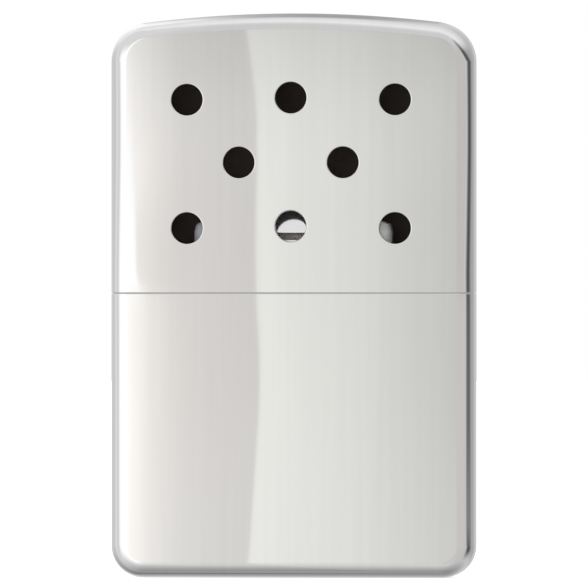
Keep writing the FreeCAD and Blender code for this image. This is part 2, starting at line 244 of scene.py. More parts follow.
def crossings(half):
    """Places across a face, about one spacing apart, from its left end to its right end."""
    pieces = round(2 * half / FACE_SPACING)
    return [-half + 2 * half * k / pieces for k in range(pieces + 1)]


def quarter_turns(steps):
    """The turns, up to a right angle, that a rounding is drawn with."""
    return [math.pi / 2 * step / steps for step in range(steps + 1)]


EDGE_TURNS = quarter_turns(ROUNDING_STEPS)


def face_point(inset, x, z, side, looks=1):
    """A corner on the crowned part of a skin of the case. side is -1 at the front and 1 at the
    back; looks is 1 for a skin seen from outside and -1 for one seen from inside."""
    fall = x * x / (2 * FACE_CROWN)
    slope = x / FACE_CROWN
    return (x, side * (CASE_DEPTH / 2 - inset - fall), z), looks * Vector((slope, side, 0)).normalized()


def edge_point(inset, place, turn, side, looks=1):
    """A corner on the rounding of a skin of the case. place is on the outline, and turn goes
    from the face to the edge of the case."""
    x, z, out_x, out_z = place
    radius = FACE_ROUNDING - inset
    drawn = inset + radius * (1 - math.sin(turn))
    fall = radius * (1 - math.cos(turn))
    point, facing = face_point(inset + fall, x - drawn * out_x, z - drawn * out_z, side)
    return point, looks * (facing * math.cos(turn) + Vector((out_x, 0, out_z)) * math.sin(turn))


def hole_loop(hole, grown):
    """Points round a hole, grown by a little, each with its outward direction. A hole is its
    middle, the half length of its straight sides (none if it is round) and its radius."""
    x, z, straight_half, radius = hole
    turns = [2 * math.pi * k / HOLE_STEPS for k in range(HOLE_STEPS)]
    return [(x + math.copysign(straight_half, math.cos(t)) + (radius + grown) * math.cos(t),
             z + (radius + grown) * math.sin(t), math.cos(t), math.sin(t)) for t in turns]


def off_hole(hole, x, z):
    """How far a place is from a hole's edge; less than nothing inside it."""
    return math.hypot(max(abs(x - hole[0]) - hole[2], 0), z - hole[1]) - hole[3]


def face_net(edge, spacing, holes=(), grown=0.0):
    """Triangles over a face inside its edge, clear of its holes, in the plane of the face."""
    points = [Vector(place) for place in edge]
    loops = [list(range(len(points)))]
    for hole in holes:
        loops.append(list(range(len(points), len(points) + HOLE_STEPS)))
        points += [Vector(place[:2]) for place in hole_loop(hole, grown)]
    edges = [(loop[i - 1], loop[i]) for loop in loops for i in range(len(loop))]
    rim = points[:len(edge)]
    low = [min(place[i] for place in edge) for i in (0, 1)]
    high = [max(place[i] for place in edge) for i in (0, 1)]
    for column in range(1, int((high[0] - low[0]) / spacing) + 1):
        for row in range(1, int((high[1] - low[1]) / spacing) + 1):
            spot = Vector((low[0] + column * spacing, low[1] + (row + column % 2 / 2) * spacing))
            clear = all(off_hole(hole, *spot) > grown + spacing / 4 for hole in holes)
            inside = low[0] < spot.x < high[0] and low[1] < spot.y < high[1]
            if clear and inside and min((spot - place).length for place in rim) > spacing / 2:
                points.append(spot)
    made, _, triangles, *_ = geometry.delaunay_2d_cdt(points, edges, [loops[0]], 1, NET_TOLERANCE)
    # a triangle with all its corners on one hole's edge lies in the hole
    on_edge = grown + HOLE_TOLERANCE
    return [[tuple(made[i]) for i in triangle] for triangle in triangles
            if all(any(off_hole(hole, *made[i]) > on_edge for i in triangle) for hole in holes)]


def add_skin(sheet, outline, inset, finish, holes=(), grown=0.0):
    """Both faces, the rounding and the edge of one skin of a shell; its inner skin looks inwards."""
    looks = 1 if finish == OUTSIDE else -1
    edge = [(x - FACE_ROUNDING * out_x, z - FACE_ROUNDING * out_z) for x, z, out_x, out_z in outline]
    mouth = crossings(abs(edge[-1][0]))
    if edge[-1][0] > 0:
        mouth.reverse()
    edge += [(x, outline[0][1]) for x in mouth[1:-1]]
    for side in (-1, 1):
        sheet.grid([[edge_point(inset, place, turn, side, looks) for turn in EDGE_TURNS]
                    for place in outline], finish)
        for triangle in face_net(edge, FACE_SPACING, holes if side < 0 else (), grown):
            sheet.face([face_point(inset, x, z, side, looks) for x, z in triangle], finish)
    sheet.grid([[edge_point(inset, place, EDGE_TURNS[-1], side, looks) for side in (-1, 1)]
                for place in outline], finish)


def mouth_loop(inset, z, tilt):
    """Level loop of corners round a shell's mouth; tilt turns the normals from outward to along z."""
    half = CASE_WIDTH / 2
    loop = []
    for side, end in ((-1, 1), (1, -1)):
        line = crossings(half - FACE_ROUNDING)
        if side > 0:
            line.reverse()
        place = (end * half, z, end, 0)
        loop += [face_point(inset, x, z, side) for x in line[:-1]]
        loop += [edge_point(inset, place, turn, side) for turn in EDGE_TURNS]
        loop += [edge_point(inset, place, turn, -side) for turn in reversed(EDGE_TURNS)]
    up = Vector((0, 0, math.copysign(1, tilt)))
    return [(point, Vector((out.x, out.y, 0)).normalized() * math.cos(tilt) + up * math.sin(abs(tilt)))
            for point, out in loop]


def add_rim(sheet, height, roll, facing):
    """The cut edge of a shell's mouth, rolled over a little outside and flat across the wall."""
    rows = [mouth_loop(roll * (1 - math.cos(turn)), height - facing * roll * (1 - math.sin(turn)),
                       facing * turn) for turn in quarter_turns(RIM_STEPS)]
    sheet.grid(rows, closed=True)
    rows = [mouth_loop(inset, height, facing * math.pi / 2) for inset in (roll, SHELL_WALL)]
    sheet.grid(rows, closed=True)


tank_sheet = Patchwork()
add_skin(tank_sheet, tank_outline(TANK_TOP - TANK_RIM_ROLL), 0.0, OUTSIDE)
add_skin(tank_sheet, tank_outline(TANK_TOP), SHELL_WALL, INSIDE)
add_rim(tank_sheet, TANK_TOP, TANK_RIM_ROLL, 1)
tank = tank_sheet.made("tank_drawn_can", [case_chrome, inside_steel])
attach(tank, "tank")
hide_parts("tank_shell")

# ---- Fuel cotton ----
# Three wads of bleached cotton are pushed into the tank one on another to hold the fuel. They
# follow the can's inside, with rounded shoulders and a face tufted like a torn cosmetic pad.

WAD_CORNER = 1.75
WAD_FOOT_CORNER = 4.55
WAD_SHOULDER = 1.2
WAD_TUFT = 0.5
WAD_SPACING = 1.6
LEAST_CORNER = 0.05
RING_CORNER_STEPS = 6
# levels of a wad's rings, from each end: close together where it is rounded, then evenly spaced
END_LEVELS = (0.06, 0.2, 0.45, 0.8)
EVEN_FROM = 1.3
EVEN_TO = 1.25
TUFTS_PER_MM = 0.9
TUFT_SMOOTHNESS = 0.8
TUFT_STEP = 2.2
TUFT_LAYERS = 4


def plan_ring(length, width, corner, spacing, sizes):
    """Points round a rounded rectangle, with outward directions. sizes is the widest ring of
    the piece, so that all of its rings have as many points."""
    half_x = length / 2 - corner
    half_y = width / 2 - corner
    middles = ((half_x, -half_y), (half_x, half_y), (-half_x, half_y), (-half_x, -half_y))
    ring = []
    for quarter, start in enumerate((-90, 0, 90, 180)):
        ring += arc_points(*middles[quarter], corner, start, start + 90, RING_CORNER_STEPS)
        here, after = Vector(middles[quarter]), Vector(middles[(quarter + 1) % 4])
        out = (math.cos(math.radians(start + 90)), math.sin(math.radians(start + 90)))
        pieces = max(1, round((sizes[1 - quarter % 2] - 2 * sizes[2]) / spacing))
        for piece in range(1, pieces):
            ring.append((*(here.lerp(after, piece / pieces) + Vector(out) * corner), *out))
    return ring


def drawn_at(radius, rise):
    """How far a rounding has drawn a side in at a rise above its foot."""
    return radius - math.sqrt(radius ** 2 - (radius - rise) ** 2) if rise < radius else 0.0


def tufted(name, node, material, corner, foot, shoulder, tuft, spacing, crown=None):
    """A wad of fibre that fills a node's space: rounded all round, and pressed in by its tufts."""
    low, high = [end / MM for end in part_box(node)]
    length, width, tall = high - low
    sizes = (length, width, corner)
    rises = [0, *END_LEVELS, *np.arange(EVEN_FROM, tall - EVEN_TO, spacing),
             *(tall - level for level in reversed(END_LEVELS)), tall]
    rings = []
    for rise in rises:
        across = max(drawn_at(foot, rise), drawn_at(shoulder, tall - rise))
        deep = max(drawn_at(min(corner, shoulder), rise), drawn_at(shoulder, tall - rise))
        rings.append(plan_ring(length - 2 * across, width - 2 * deep, max(corner - deep, LEAST_CORNER),
                               spacing, sizes))
    patches = Patchwork()
    patches.grid([[((x, y, low.z + rise), (u, v, 0)) for x, y, u, v in ring]
                  for ring, rise in zip(rings, rises)], closed=True)
    for ring, z, up in ((rings[0], low.z, -1), (rings[-1], high.z, 1)):
        for triangle in face_net([place[:2] for place in ring], spacing):
            patches.face([((x, y, z), (0, 0, up)) for x, y in triangle])
    piece = patches.made(name, [material], exact=False)
    for vertex, normal in zip(piece.data.vertices, [tuple(v.normal) for v in piece.data.vertices]):
        place = vertex.co / MM
        lumps = noise.fractal(place * TUFTS_PER_MM, TUFT_SMOOTHNESS, TUFT_STEP, TUFT_LAYERS)
        pressed = tuft * min(max(0.5 + lumps, 0), 1)
        vertex.co -= Vector(normal) * pressed * MM
        if crown:
            vertex.co.y *= 1 - place.x ** 2 / (2 * crown) / (width / 2)
    return piece


def matted_fibre(name, tone, painted_shade):
    """Loose matted fibre. The eye sees it matt, with a haze of ends and soft darker patches that are
    painted shade, as of hollows, laid at random.
    """
    material, tree, shader = new_material(name, Roughness=0.95, Sheen_Weight=0.35, Sheen_Roughness=0.6)
    # strands, 0.12 mm across, drawn about twice as coarse so that they show
    strands = pattern(tree, (0.24, 0.24, 0.24), 3, Distortion=1.5)
    # tufts 2.5 mm across; their darker tone is painted shade, as of hollows
    tufts = pattern(tree, (2.5, 2.5, 2.5), 3)
    tones = ((0.3, linear(painted_shade)), (0.65, linear(tone)))
    colour = add_node(tree, "ValToRGB", {"Fac": tufts}, stops=tones)
    raised = add_node(tree, "Bump", {"Height": strands, "Strength": 0.8, "Distance": 0.06 * MM})
    feed(shader, Base_Color=colour, Normal=raised)
    return material


# bleached cotton: warm white, with greyer painted shade as of hollows
cotton = matted_fibre("bleached_cotton", "#F1EEE6", "#DAD5C9")
for level, foot in (("bottom", WAD_FOOT_CORNER), ("middle", WAD_SHOULDER), ("top", WAD_SHOULDER)):
    node = "fuel_cotton_" + level
    wad = tufted("cotton_wad_" + level, node, cotton, WAD_CORNER, foot, WAD_SHOULDER, WAD_TUFT, WAD_SPACING,
                 FACE_CROWN)
    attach(wad, "tank")
    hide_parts(node)

# ---- Lid collar ----
# A sleeve of thin nickel plated brass is soldered inside the tank's mouth. The lid slides
# over it, which has drawn fine bright lines up and down its outside.


def lined_metal(name, tone, line_tone, roughness, lengths, depth):
    """Metal with fine lines, drawn, rolled or rubbed. The eye sees a satin sheen, brighter along
    the lines, whose lengths along x, y and z and whose depth are in millimetres."""
    material, tree, shader = new_material(name, Metallic=1.0)
    lines = pattern(tree, lengths, 4, Roughness=0.6)
    tones = ((0.35, linear(tone)), (0.7, linear(line_tone)))
    colour = add_node(tree, "ValToRGB", {"Fac": lines}, stops=tones)
    dulled = add_node(tree, "MapRange", {"Value": lines, "From Min": 0.3, "From Max": 0.7,
                                         "To Min": roughness * 1.25, "To Max": roughness * 0.75})
    raised = add_node(tree, "Bump", {"Height": lines, "Strength": 0.5, "Distance": depth * MM})
    feed(shader, Base_Color=colour, Roughness=dulled, Normal=raised)
    return material


def dress(node, material):
    """Give a node that is shown as it is its finish."""
    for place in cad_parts[node].material_slots:
        place.material = material


# nickel plate that the lid slides on: warm grey with long bright upright lines
dress("lid_collar", lined_metal("slid_nickel_plate", "#B9B4A9", "#D2CEC4", 0.2, (0.12, 0.12, 9.0), 0.004))

# ---- Deck and filler neck ----
# A drawn cup closes the tank inside the collar, rim up, and a flattened tube is soldered
# through it. Both are satin nickel, a little browned by the burner's heat.

# satin nickel plate: a soft, even, brownish grey sheen
deck_nickel = lined_metal("satin_nickel_plate", "#ADA698", "#C6C0B3", 0.3, (0.5, 0.5, 0.5), 0.006)
dress("tank_deck", deck_nickel)
dress("filler_neck", deck_nickel)

# ---- Neck cotton ----
# The last tuft of cotton reaches up into the neck and carries the vapour to the burner. Its
# top is fluffed by the filler's spout.

neck_tuft = tufted("cotton_neck_tuft", "neck_cotton", cotton,
                   corner=2.55, foot=0.6, shoulder=0.7, tuft=0.25, spacing=0.7)
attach(neck_tuft, "tank")
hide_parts("neck_cotton")

# ---- Burner skirt and catalyst tray ----
# The skirt is a flattened sleeve that grips the neck; the pierced tray lies on it and lets
# the vapour up. The skirt is plated and dulled by heat, the tray is plain rolled steel.

# chrome plate dulled by heat: a soft grey sheen with short upright lines
burner_satin = lined_metal("heat_dulled_chrome_plate", "#B7B6B6", "#D2D2D2", 0.34, (0.25, 0.25, 3.0), 0.004)
dress("burner_skirt", burner_satin)
# rolled steel: darker and duller, with level rolling lines
tray_steel = lined_metal("rolled_steel_plate", "#85807A", "#A09B94", 0.42, (3.0, 0.2, 0.2), 0.005)
dress("catalyst_tray", tray_steel)

# ---- Catalyst mat ----
# A pad of matted glass fibre, greyed by the platinum on it, fills the burner. It is springy
# and uneven, and shows dull brownish grey behind the slots.

# glass fibre with platinum on it: pale warm grey, with darker painted shade as of hollows
mat_fibre = matted_fibre("platinised_glass_fibre", "#D8D3CE", "#ADA7A1")
mat = tufted("glass_fibre_pad", "catalyst_mat", mat_fibre,
             corner=3.2, foot=0.8, shoulder=0.8, tuft=0.16, spacing=0.8)
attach(mat, "burner")
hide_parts("catalyst_mat")

# ---- Window gauze ----
# A band of plain woven wire, 0.11 mm thick and about two wires to the millimetre, is bent
# round the mat and keeps its fibres in.

WIRE_RADIUS = 0.055
WEAVE_DEPTH = 0.05
WIRE_PITCH = 0.5
WIRE_SIDES = 6

low, high = [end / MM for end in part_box("window_gauze")]
band_radius = (high.y - low.y) / 2 - WIRE_RADIUS - WEAVE_DEPTH
band_half = (high.x - low.x) / 2 - (high.y - low.y) / 2
band_length = 4 * band_half + 2 * math.pi * band_radius
warp_count = 2 * round(band_length / WIRE_PITCH / 2)
weft_count = int((high.z - low.z - 2 * WIRE_RADIUS) / WIRE_PITCH)
weft_low = low.z + (high.z - low.z - (weft_count - 1) * WIRE_PITCH) / 2


def on_band(length):
    """The place on the band's middle line at a length along it, and its outward direction."""
    length %= band_length
    for x_side, y_side in ((1, -1), (-1, 1)):
        if length < 2 * band_half:
            return Vector((x_side * (length - band_half), y_side * band_radius)), Vector((0, y_side))
        length -= 2 * band_half
        if length < math.pi * band_radius:
            turn = length / band_radius - math.pi / 2
            out = Vector((x_side * math.cos(turn), x_side * math.sin(turn)))
            return Vector((x_side * band_half, 0)) + out * band_radius, out
        length -= math.pi * band_radius


def add_wire(patches, middles, sides, ups, closed):
    """A round wire through a row of middles; sides and ups span its section at each."""
    ring = [(math.cos(t), math.sin(t)) for t in (2 * math.pi * k / WIRE_SIDES for k in range(WIRE_SIDES))]
    rows = []
    for middle, side, up in zip(middles, sides, ups):
        normals = [side * across + up * rise for across, rise in ring]
        rows.append([(middle + normal * WIRE_RADIUS, normal) for normal in normals])
    if closed:
        rows.append(rows[0])
    else:
        way = (middles[-1] - middles[0]).normalized()
        patches.face([(point, -way) for point, _ in rows[0]])
        patches.face([(point, way) for point, _ in rows[-1]])
    patches.grid(rows, closed=True)


gauze_work = Patchwork()
# the upright wires sway in and out past the level ones
rises = np.linspace(low.z, high.z, 4 * weft_count + 1)
for wire in range(warp_count):
    spot, out = on_band((wire + 0.5) * band_length / warp_count)
    outward, along = Vector((*out, 0)), Vector((-out.y, out.x, 0))
    sways = [(-1) ** wire * WEAVE_DEPTH * math.cos(math.pi * (z - weft_low) / WIRE_PITCH) for z in rises]
    add_wire(gauze_work, [Vector((*spot, z)) + outward * sway for z, sway in zip(rises, sways)],
             [outward] * len(rises), [along] * len(rises), closed=False)
# the level wires go round the band and sway the other way
for wire in range(weft_count):
    middles, outs = [], []
    for step in range(4 * warp_count):
        spot, out = on_band((step / 4 + 0.5) * band_length / warp_count)
        sway = -(-1) ** wire * WEAVE_DEPTH * math.cos(math.pi * step / 4)
        middles.append(Vector((*(spot + out * sway), weft_low + wire * WIRE_PITCH)))
        outs.append(Vector((*out, 0)))
    add_wire(gauze_work, middles, outs, [Vector((0, 0, 1))] * len(outs), closed=True)
# steel wire browned by heat: dull, with a faint warm sheen
gauze_wire = lined_metal("heat_browned_wire", "#B3ABA5", "#D2CAC3", 0.4, (0.3, 0.3, 0.3), 0.002)
gauze = gauze_work.made("woven_wire_band", [gauze_wire])
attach(gauze, "burner")
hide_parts("window_gauze")

# ---- Burner cover ----
# The cap over the catalyst is pressed from thin plated sheet: upright walls with a row of
# narrow slots front and back, and above them a polished crown that leans in to a domed top.

cover_low, cover_high = box_of("burner_cover")
COVER_LENGTH = cover_high[0] - cover_low[0]
COVER_WIDTH = cover_high[1] - cover_low[1]
COVER_LOW = cover_low[2]
COVER_TOP = cover_high[2]
COVER_SHOULDER = 62.7
COVER_CORNER = 2.2
COVER_WALL = 0.35
COVER_LEAN = math.radians(16.5)
COVER_DOME = 45.0
SHOULDER_ROUNDING = 0.6
SHOULDER_STEPS = 4
CROWN_ROUNDING = 1.2
CROWN_STEPS = 8
SLOT_HALF = 4.0
SLOT_RADIUS = 0.64
SLOT_ROLL = 0.1
SLOT_STEPS = 3
SLOT_PITCH = 11.0
SLOT_MIDDLE = 61.8
COVER_SPACING = 1.2
HAIR = 1e-6


def cover_ring(inset):
    """The cap's plan, drawn in by an inset."""
    return plan_ring(COVER_LENGTH - 2 * inset, COVER_WIDTH - 2 * inset,
                     max(COVER_CORNER - inset, LEAST_CORNER), COVER_SPACING,
                     (COVER_LENGTH, COVER_WIDTH, COVER_CORNER))


def crown_rows(wall):
    """Inset, height and backward tilt of the cap's rings above its upright part, for its
    outside or, with a wall, its inside."""
    start = SHOULDER_ROUNDING * math.tan(COVER_LEAN / 2)
    rows = []
    for step in range(SHOULDER_STEPS + 1):
        tilt = COVER_LEAN * step / SHOULDER_STEPS
        rows.append((wall + SHOULDER_ROUNDING * (1 - math.cos(tilt)),
                     COVER_SHOULDER - start + SHOULDER_ROUNDING * math.sin(tilt), tilt))
    radius = CROWN_ROUNDING - wall
    top = COVER_TOP - wall
    corner_inset = wall + (top - COVER_SHOULDER) * math.tan(COVER_LEAN)
    middle_inset = corner_inset + radius * math.tan((math.pi / 2 - COVER_LEAN) / 2)
    for step in range(CROWN_STEPS + 1):
        tilt = COVER_LEAN + (math.pi / 2 - COVER_LEAN) * step / CROWN_STEPS
        rows.append((middle_inset - radius * math.cos(tilt), top - radius + radius * math.sin(tilt), tilt))
    return rows


def dome_share(x):
    """The share of its full height that the domed crown still has at a distance from its middle."""
    return 1 - x * x / (2 * COVER_DOME * (COVER_TOP - COVER_SHOULDER))


def domed_ring(base, ring, rise, tilt, foot, looks):
    """A ring of the crown. The crown shrinks towards the ends and keeps its lean."""
    points = []
    for (x, y, _, _), (x_in, y_in, _, _) in zip(base, ring):
        share = dome_share(x)
        x_drawn = x + (x_in - x) * share
        points.append(Vector((x_drawn, y + (y_in - y) * share, foot + rise * dome_share(x_drawn))))
    corners = []
    for index, (_, _, u, v) in enumerate(base):
        along = points[(index + 1) % len(points)] - points[index - 1]
        up = Vector((-u * math.sin(tilt), -v * math.sin(tilt), math.cos(tilt)))
        corners.append((points[index], looks * along.cross(up).normalized()))
    return corners


def add_slot(patches, slot, side):
    """The rolled edge and the cut wall of one slot, from the cap's outside to its inside."""
    half = COVER_WIDTH / 2
    rows = []
    for turn in quarter_turns(SLOT_STEPS):
        rise, lean = math.cos(turn), math.sin(turn)
        rows.append([((x, side * (half - SLOT_ROLL * (1 - rise)), z), (-u * lean, side * rise, -w * lean))
                     for x, z, u, w in hole_loop(slot, SLOT_ROLL * (1 - lean))])
    rows.append([((x, side * (half - COVER_WALL), z), (-u, 0, -w)) for x, z, u, w in hole_loop(slot, 0.0)])
    patches.grid(rows, closed=True)


def add_cover_walls(patches, ring, shoulder, wall, finish, looks):
    """The upright part of one skin of the cap: its rounded ends, and flat walls with slots."""
    flat = COVER_LENGTH / 2 - COVER_CORNER
    for side in (1, -1):
        end = [place for place in ring if place[0] * side >= flat - HAIR]
        patches.grid([[((x, y, z), (looks * u, looks * v, 0)) for x, y, u, v in end]
                      for z in (COVER_LOW, shoulder)], finish)
    across = sorted({round(place[0], 6) for place in ring if abs(place[0]) <= flat + HAIR})
    edge = [(x, COVER_LOW) for x in across] + [(x, shoulder) for x in reversed(across)]
    slots = [(SLOT_PITCH * place, SLOT_MIDDLE, SLOT_HALF, SLOT_RADIUS) for place in (-1, 0, 1)]
    for side in (-1, 1):
        y = side * (COVER_WIDTH / 2 - wall)
        for triangle in face_net(edge, COVER_SPACING, slots, SLOT_ROLL if finish == OUTSIDE else 0.0):
            patches.face([((x, y, z), (0, looks * side, 0)) for x, z in triangle], finish)
        if finish == OUTSIDE:
            for slot in slots:
                add_slot(patches, slot, side)


def add_cover_skin(patches, wall, finish):
    """The cap's outside, or its inside looking inwards."""
    looks = 1 if finish == OUTSIDE else -1
    rows = crown_rows(wall)
    shoulder, top = rows[0][1], rows[-1][1]
    ring = cover_ring(wall)
    add_cover_walls(patches, ring, shoulder, wall, finish, looks)
    crown = [domed_ring(ring, cover_ring(inset), z - shoulder, tilt, shoulder, looks)
             for inset, z, tilt in rows]
    patches.grid(crown, finish, closed=True)
    for triangle in face_net([point[:2] for point, _ in crown[-1]], COVER_SPACING):
        patches.face([((x, y, shoulder + (top - shoulder) * dome_share(x)),
                       looks * Vector((x / COVER_DOME, 0, 1)).normalized()) for x, y in triangle], finish)


cover_work = Patchwork()
add_cover_skin(cover_work, 0.0, OUTSIDE)
add_cover_skin(cover_work, COVER_WALL, INSIDE)
cover_work.grid([[((x, y, COVER_LOW), (0, 0, -1)) for x, y, _, _ in cover_ring(inset)]
                 for inset in (0.0, COVER_WALL)], closed=True)


def burner_plate():
    """Chrome plate that works hot. It stays bright in the middle; the ends have a haze that scatters the
    light. Its colour holds painted light: painted shade makes the left end darker and faintly blue, and a
    painted highlight makes the right end paler."""
    material, tree, shader = new_material("heat_hazed_chrome_plate_with_painted_light")
    # the haze starts 8 mm from the middle and is full at 14 mm
    sideways = add_node(tree, "SeparateXYZ", [add_node(tree, "TexCoord", out="Object")], "X")
    off_middle = add_node(tree, "Math", [sideways], operation="ABSOLUTE")
    hazed = add_node(tree, "MapRange", {"Value": off_middle, "From Min": 8 * MM, "From Max": 14 * MM})
    # painted light: the colour runs across the cap from painted shade, darker and faintly blue, at the left
    # end to a painted highlight, paler, at the right end
    across = add_node(tree, "MapRange", {"Value": sideways, "From Min": -14 * MM, "From Max": 14 * MM})
    tones = ((0.0, linear("#D0D0D7")), (0.21, linear("#FAFAFB")), (0.79, linear("#FAFAFB")),
             (1.0, linear("#FFFFFF")))
    colour = add_node(tree, "ValToRGB", {"Fac": across}, stops=tones)
    metal = add_node(tree, "MapRange", {"Value": hazed, "To Min": 0.92, "To Max": 0.04})
    dulled = add_node(tree, "MapRange", {"Value": hazed, "To Min": 0.1, "To Max": 0.5})
    # drawing lines, 0.4 mm apart and 4 mm long
    lines = pattern(tree, (0.4, 2, 4), 2)
    # the thin sheet is not quite flat: shallow waves about 5 mm across
    waves = pattern(tree, (5, 5, 5), 0)
    uneven = add_node(tree, "Bump", {"Height": waves, "Strength": 1.0, "Distance": 0.2 * MM}, invert=True)
    lined = add_node(tree, "Bump", {"Height": lines, "Strength": 0.5, "Distance": 0.01 * MM,
                                    "Normal": uneven})
    feed(shader, Base_Color=colour, Metallic=metal, Roughness=dulled, Normal=lined)
    return material


cover = cover_work.made("burner_cap", [burner_plate(), inside_steel])
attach(cover, "burner")
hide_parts("burner_cover")

# ---- Lid shell ----
# The lid is drawn and plated like the tank, and has a domed top. Eight round vents are
# punched through its front from outside, which leaves a tiny roll round each.

CASE_HEIGHT = box_of("lid_shell")[1][2]
# the lid comes down to a hair above the tank, closer than the working gap, so the seam is fine
SEAM = 0.025
LID_LOW = TANK_TOP + SEAM
LID_RIM_ROLL = 0.15
TOP_CORNER = 7.2
TOP_DOME = 220.0
DOME_STEPS = 20
VENT_RADIUS = 2.8
VENT_ROLL = 0.25
VENT_STEPS = 4
VENT_PITCH = 18.9
VENT_LOW_ROW = 63.3
VENT_ROW_SPACING = 11.62
VENT_ARCH = 0.34
VENT_ROWS = ((-1, 0, 1), (-0.5, 0.5), (-1, 0, 1))


def lid_outline(low):
    """Front outline of the lid from the right end of its mouth over the dome to the left end."""
    half = CASE_WIDTH / 2
    inner = half - TOP_CORNER
    lean = math.degrees(math.asin(inner / (TOP_DOME - TOP_CORNER)))
    middle = CASE_HEIGHT - TOP_DOME
    shoulder = middle + (TOP_DOME - TOP_CORNER) * math.cos(math.radians(lean))
    return [(half, low, 1, 0),
            *straight(half, low, half, shoulder, (1, 0)),
            *arc_points(inner, shoulder, TOP_CORNER, 0, 90 - lean, CORNER_STEPS),
            *arc_points(0, middle, TOP_DOME, 90 - lean, 90 + lean, DOME_STEPS)[1:-1],
            *arc_points(-inner, shoulder, TOP_CORNER, 90 + lean, 180, CORNER_STEPS),
            *straight(-half, shoulder, -half, low, (-1, 0)),
            (-half, low, -1, 0)]


def add_vent(sheet, vent):
    """The rolled edge and the punched wall of one vent, from the front's outside to its inside."""
    rows = []
    for turn in quarter_turns(VENT_STEPS):
        row = []
        for x, z, across, up in hole_loop(vent, VENT_ROLL * (1 - math.sin(turn))):
            point, facing = face_point(VENT_ROLL * (1 - math.cos(turn)), x, z, -1)
            row.append((point, facing * math.cos(turn) - Vector((across, 0, up)) * math.sin(turn)))
        rows.append(row)
    sheet.grid(rows, closed=True)
    inner = [(face_point(SHELL_WALL, x, z, -1)[0], normal) for (x, _, z), normal in rows[-1]]
    sheet.grid([rows[-1], inner], closed=True)


vents = [(column * VENT_PITCH, VENT_LOW_ROW + row * VENT_ROW_SPACING + VENT_ARCH * (1 - column ** 2),
          0, VENT_RADIUS) for row, columns in enumerate(VENT_ROWS) for column in columns]
lid_sheet = Patchwork()
add_skin(lid_sheet, lid_outline(LID_LOW + LID_RIM_ROLL), 0.0, OUTSIDE, vents, VENT_ROLL)
add_skin(lid_sheet, lid_outline(LID_LOW), SHELL_WALL, INSIDE, vents)
add_rim(lid_sheet, LID_LOW, LID_RIM_ROLL, -1)
for vent in vents:
    add_vent(lid_sheet, vent)
lid = lid_sheet.made("lid_drawn_cover", [case_chrome, inside_steel])
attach(lid, "lid")
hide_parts("lid_shell")

# ---- Studio ----
# A pale floor, and a soft surround: a wide light on the left, a grey card in front whose two
# halves meet a little left of the middle, light overhead and a dark flag on the right.

CAMERA_TURN = math.radians(5.3)
CAMERA_DISTANCE = 1.7778
CAMERA_AIM = 0.05139
CARD_LEFT = -12.8
CARD_RIGHT = 2.7

scene = bpy.context.scene
scene.view_settings.view_transform = "Standard"

lens = bpy.data.cameras.new("product_camera")
lens.lens = 600
lens.clip_start = 0.01
lens.clip_end = 20
camera = bpy.data.objects.new("product_camera", lens)
camera.location = (CAMERA_DISTANCE * math.sin(CAMERA_TURN), -CAMERA_DISTANCE * math.cos(CAMERA_TURN),
                   CAMERA_AIM)
camera.rotation_euler = (math.pi / 2, 0, CAMERA_TURN)
scene.collection.objects.link(camera)
scene.camera = camera

# The surround is drawn by directions: the bearing round the object from the front, the height
# above the horizon, the angle from the front up and over, and the angle to either side.
world = bpy.data.worlds.new("soft_surround")
scene.world = world
world.use_nodes = True
sky = world.node_tree
sky.nodes.clear()
toward = add_node(sky, "SeparateXYZ", [add_node(sky, "TexCoord", out="Generated")]).node.outputs
front = add_node(sky, "Math", [toward["Y"], -1.0], operation="MULTIPLY")
bearing = add_node(sky, "Math", [toward["X"], front], operation="ARCTAN2")
height = add_node(sky, "Math", [toward["Z"]], operation="ARCSINE")
over = add_node(sky, "Math", [toward["Z"], front], operation="ARCTAN2")
sideways = add_node(sky, "Math", [toward["X"]], operation="ARCSINE")

PLAIN = (1.0, 1.0, 1.0)
WARM = (1.0, 0.97, 0.935)
EVEN = (1.0, 1.0, 0.957)
STRONGEST = 2.0


def light_ramp(angle, *places, most=1.0, curve="LINEAR"):
    """A ramp of light, or of a share, over an angle. Each place is a degree, a strength and, where
    it changes from there on, a tint. A ramp holds no more than 1, so it holds shares of the most."""
    low, high = places[0][0], places[-1][0]
    share = add_node(sky, "MapRange", {"Value": angle, "From Min": math.radians(low),
                                       "From Max": math.radians(high)})
    tint = PLAIN
    stops = []
    for degrees, strength, *change in places:
        tint = change[0] if change else tint
        stops.append(((degrees - low) / (high - low), [strength / most * part for part in tint] + [1.0]))
    ramp = add_node(sky, "ValToRGB", {"Fac": share}, stops=stops)
    ramp.node.color_ramp.interpolation = curve
    return ramp


# the card hangs a little crooked: its edges bow to the left above and below
bow = light_ramp(height, (-1.7, 0.78), (-1.43, 0.53), (-1.08, 0.31), (-0.75, 0.12), (-0.38, 0.0),
                 (-0.1, 0.23), (0.2, 0.29), (0.6, 0.25), (0.9, 0.15), (1.15, 0.25), (1.4, 0.54), (1.7, 1.0),
                 curve="B_SPLINE")
bowed = light_ramp(bearing, (-13, 0), (-11, 0), (-8, 1), (-4.5, 1), (-1, 0), (3, 0))
bow = add_node(sky, "Math", [bow, bowed], operation="MULTIPLY")
along_card = add_node(sky, "Math", [bow, math.radians(0.8), bearing], operation="MULTIPLY_ADD")
